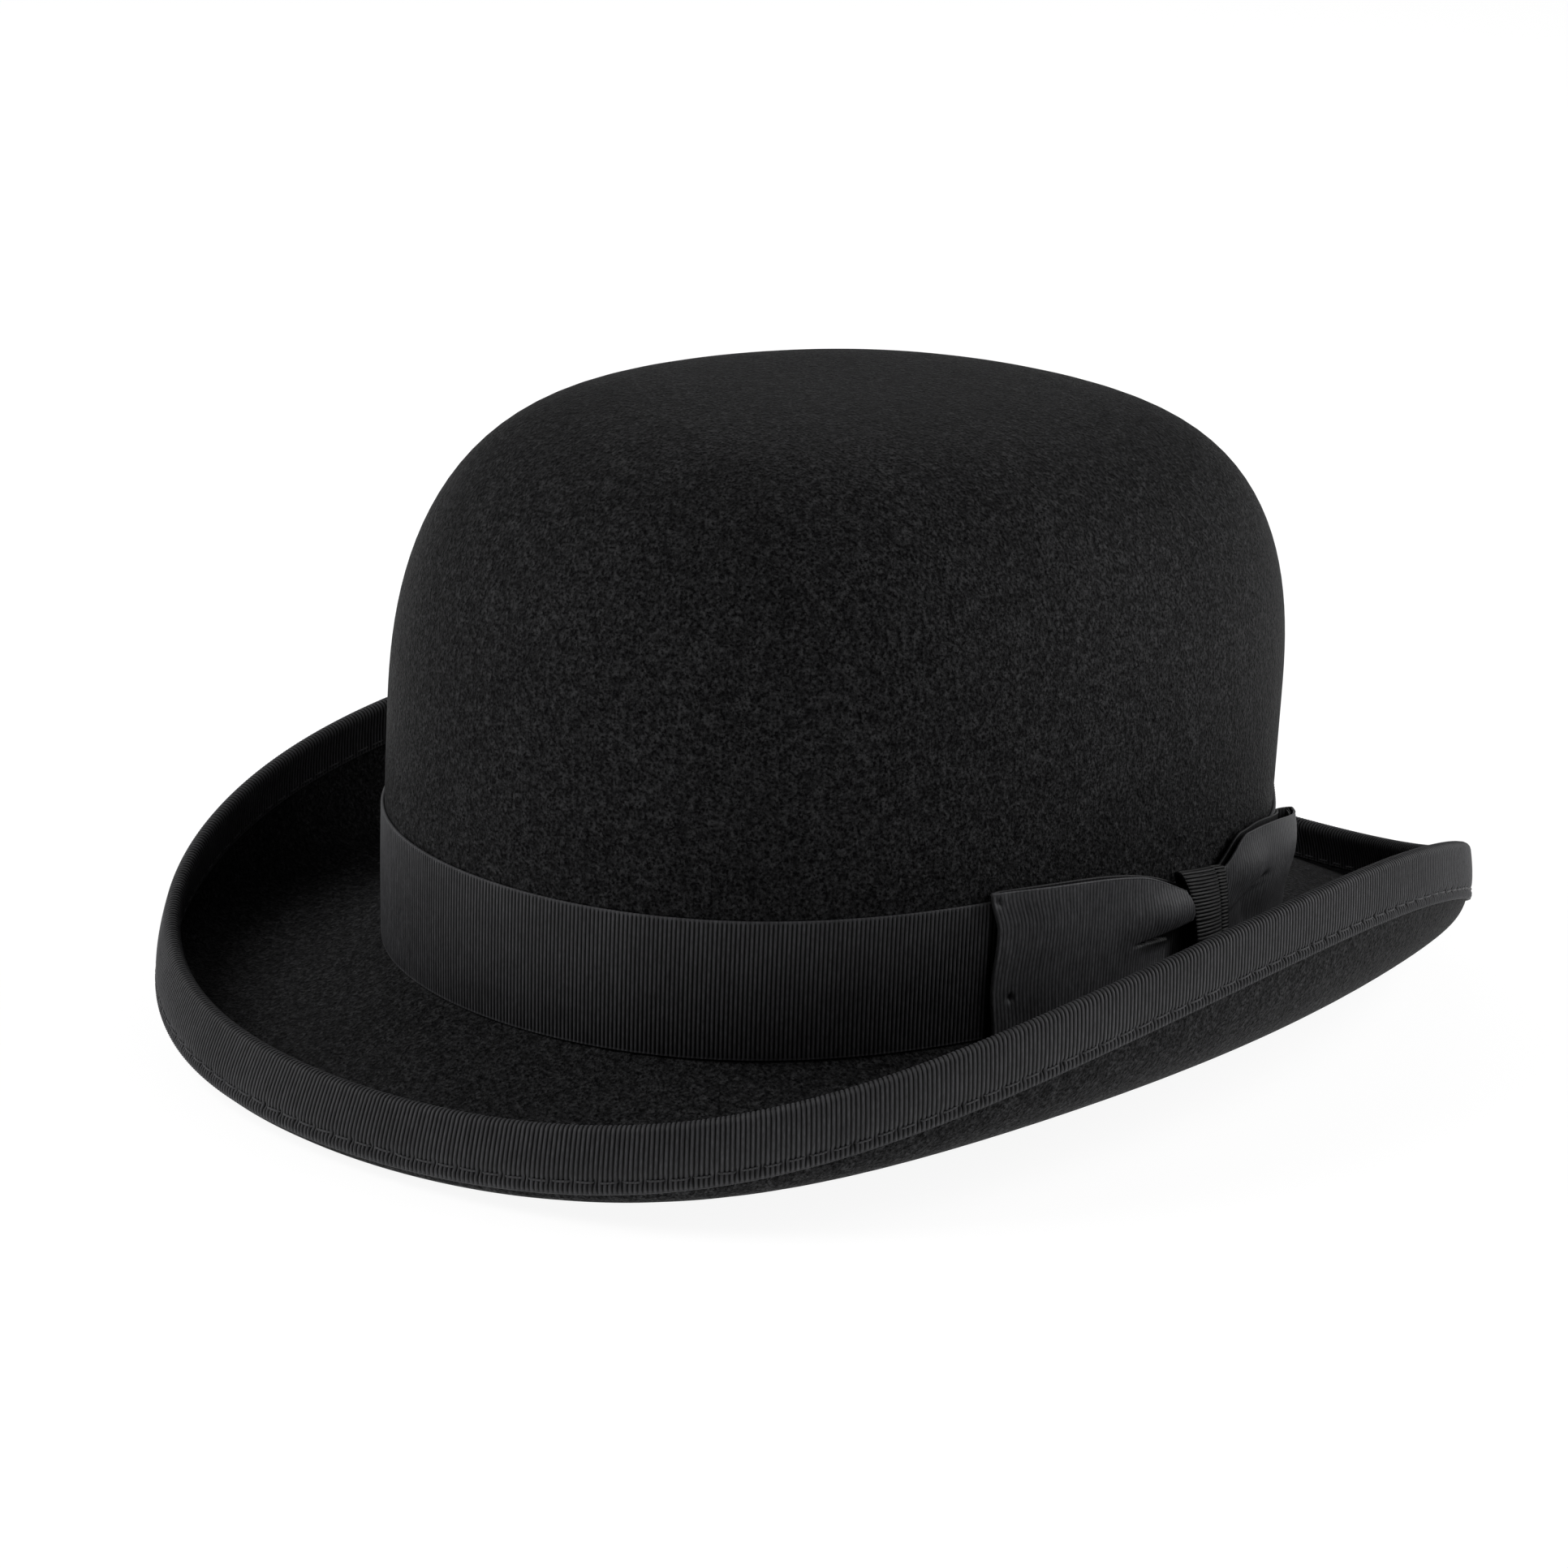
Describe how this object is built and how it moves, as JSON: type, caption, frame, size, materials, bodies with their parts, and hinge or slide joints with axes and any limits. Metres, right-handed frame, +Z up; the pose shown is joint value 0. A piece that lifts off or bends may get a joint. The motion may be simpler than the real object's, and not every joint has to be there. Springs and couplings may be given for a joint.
{
  "type": "bowler hat",
  "caption": "Stiff black fur felt bowler hat with a curled bound brim, grosgrain band and side bow, leather sweatband and satin lining.",
  "frame": {"origin": "middle of the hat's outline, on the surface that the brim's front and back stand on", "axes": "+Z up through the crown, the front of the hat towards -Y, the wearer's left and the bow towards +X"},
  "size_m": [0.2484, 0.3098, 0.1406],
  "materials": {
    "felt": "matt black fur felt with a short nap",
    "band_ribbon": "black grosgrain, fine cross ribs",
    "binding_ribbon": "black grosgrain, fine cross ribs",
    "thread": "black sewing thread",
    "leather": "dark brown smooth sheepskin",
    "leather_thread": "brown sewing thread",
    "reed": "dull round plastic cord",
    "tape": "dark woven tape",
    "ticket_paper": "blank uncoated paper",
    "satin": "black lining satin",
    "clear_sheet": "clear glossy plastic film"
  },
  "bodies": {
    "root": {"felt_body": "felt", "hat_band": "band_ribbon", "band_join_stitches": "thread", "bow_ribbon": "band_ribbon", "bow_keeper": "band_ribbon", "bow_tack_stitches": "thread", "brim_binding": "binding_ribbon", "binding_stitches": "thread", "sweatband_leather": "leather", "sweatband_reed": "reed", "sweatband_reed_tape": "tape", "reed_stitches": "leather_thread", "sweatband_seam_stitches": "leather_thread", "sweatband_bow": "band_ribbon", "size_ticket": "ticket_paper", "lining_side": "satin", "lining_tip": "satin", "lining_piping": "satin", "lining_tip_protector": "clear_sheet"}
  },
  "joints": []
}
